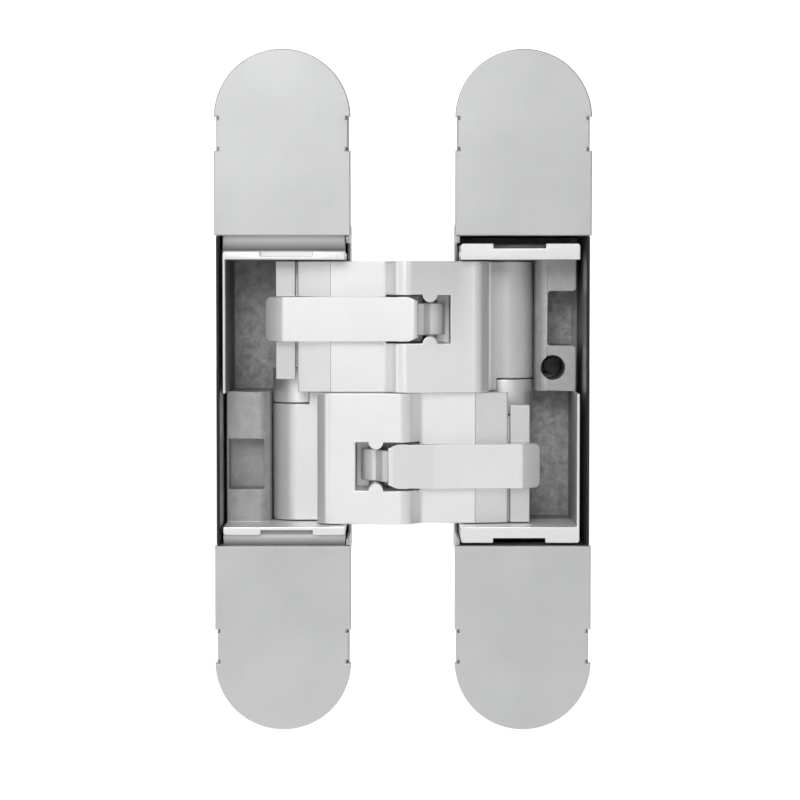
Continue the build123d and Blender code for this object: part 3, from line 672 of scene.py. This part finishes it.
for node, count in screws_on_node.items():
    screw_low, screw_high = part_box(node)
    head_radius = screw_sizes["Head Radius"]
    lowest = screw_low.z + head_radius
    pitch = (screw_high.z - head_radius - lowest) / max(count - 1, 1)
    across = (screw_low.x + screw_high.x) / 2
    places = bpy.data.meshes.new(node + "_places")
    places.from_pydata([(across, screw_low.y, lowest + step * pitch) for step in range(count)], [], [])
    seed = bpy.data.objects.new(node + "_seed", places)
    bpy.context.scene.collection.objects.link(seed)
    grown = seed.modifiers.new("Clamp screws", "NODES")
    grown.node_group = screw_tree
    shank_length = screw_high.y - screw_low.y - screw_sizes["Head Height"]
    length_socket = screw_tree.interface.items_tree["Shank Length"]
    grown[length_socket.identifier] = shank_length
    settled = bpy.context.evaluated_depsgraph_get()
    screw_mesh = bpy.data.meshes.new_from_object(seed.evaluated_get(settled), depsgraph=settled)
    bpy.data.objects.remove(seed)
    screws = bpy.data.objects.new(node + "_set", screw_mesh)
    bpy.context.scene.collection.objects.link(screws)
    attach(screws, node_body(node))
    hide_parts(node)

# Studio: a white floor below the hinge and a white backdrop far behind it, lit by a pale sky.
# A soft box hangs in front, above and to the left, and a weaker one fills in from the left side.
# Floor and backdrop glow to the camera, so that they read white.
floor_height = -0.0705
floor_reach = 3.0
backdrop_distance = 2.2
floor_white = (0.90, 0.90, 0.90, 1.0)
glow_white = (1.0, 1.0, 1.0, 1.0)
sky_bright_side = (-0.45, -0.20, 0.87)
sky_dim = (0.45, 0.45, 0.45, 1.0)
sky_full = (1.0, 1.0, 1.0, 1.0)
sky_strength = 0.56


def stage_sheet(name, corners, material):
    """Flat sheet of the stage from four corners."""
    mesh = bpy.data.meshes.new(name)
    mesh.from_pydata(corners, [], [(0, 1, 2, 3)])
    mesh.materials.append(material)
    sheet = bpy.data.objects.new(name, mesh)
    bpy.context.scene.collection.objects.link(sheet)


def stage_material(name, glow, glow_start, glow_full):
    """White stage surface that glows to the camera and in reflections, rising between two depths."""
    material, tree, shader = blank_material(name, metallic=0.0, specular=0.2)
    shader.inputs["Base Color"].default_value = floor_white
    shader.inputs["Roughness"].default_value = 0.9
    path = place_node(tree, "ShaderNodeLightPath")
    level = place_node(tree, "ShaderNodeMath", operation="MULTIPLY", inputs={1: glow})
    seen = either(tree, path.outputs["Is Camera Ray"], path.outputs["Is Glossy Ray"])
    seen_or_through = either(tree, seen, path.outputs["Is Transmission Ray"])
    lit = overlap(tree, seen_or_through, past(tree, place_along(tree, "Y"), glow_start, glow_full))
    tree.links.new(lit, level.inputs[0])
    shader.inputs["Emission Color"].default_value = glow_white
    tree.links.new(level.outputs[0], shader.inputs["Emission Strength"])
    return material


stage_sheet(
    "floor",
    [
        (-floor_reach, -floor_reach, floor_height),
        (floor_reach, -floor_reach, floor_height),
        (floor_reach, backdrop_distance, floor_height),
        (-floor_reach, backdrop_distance, floor_height),
    ],
    stage_material("floor_white", glow=0.62, glow_start=-0.45, glow_full=0.0),
)
stage_sheet(
    "backdrop",
    [
        (-floor_reach, backdrop_distance, floor_height),
        (floor_reach, backdrop_distance, floor_height),
        (floor_reach, backdrop_distance, floor_reach),
        (-floor_reach, backdrop_distance, floor_reach),
    ],
    stage_material("backdrop_white", glow=1.0, glow_start=-1.0, glow_full=0.0),
)

world = bpy.data.worlds.new("studio_sky")
bpy.context.scene.world = world
world.use_nodes = True
tree = world.node_tree
sky = tree.nodes["Background"]
sky_place = place_node(tree, "ShaderNodeTexCoord")
sky_side = place_node(tree, "ShaderNodeVectorMath", operation="DOT_PRODUCT", inputs={1: sky_bright_side})
tree.links.new(sky_place.outputs["Generated"], sky_side.inputs[0])
sky_level = past(tree, sky_side.outputs["Value"], -1.0, 1.0)
tree.links.new(ramp(tree, sky_level, ((0.30, sky_dim), (0.80, sky_full))), sky.inputs["Color"])
sky.inputs["Strength"].default_value = sky_strength


def soft_box(name, position, size, power):
    """Square area lamp aimed at the hinge."""
    lamp_data = bpy.data.lights.new(name, "AREA")
    lamp_data.size = size
    lamp_data.energy = power
    lamp = bpy.data.objects.new(name, lamp_data)
    lamp.location = position
    lamp.rotation_euler = (-Vector(position)).to_track_quat("-Z", "Y").to_euler()
    bpy.context.scene.collection.objects.link(lamp)


soft_box("key", (-0.12, -0.85, 0.33), size=0.36, power=1.85)
soft_box("side_fill", (-0.78, -0.48, 0.12), size=0.40, power=0.50)

# Camera: square to the cover plates and a little above the middle of the hinge.
# It stands far enough away for little perspective.
view_width = 0.1350
view_distance = 0.43
view_rise = math.radians(2.6)
view_aim = Vector((-0.0005, cad_low.y, -0.0015))
camera_data = bpy.data.cameras.new("camera")
camera_data.sensor_width = 36.0
camera_data.lens = camera_data.sensor_width * view_distance / view_width
camera = bpy.data.objects.new("camera", camera_data)
camera.location = view_aim + view_distance * Vector((0.0, -math.cos(view_rise), math.sin(view_rise)))
camera.rotation_euler = (math.radians(90.0) - view_rise, 0.0, 0.0)
bpy.context.scene.collection.objects.link(camera)
bpy.context.scene.camera = camera
bpy.context.scene.view_settings.view_transform = "Standard"
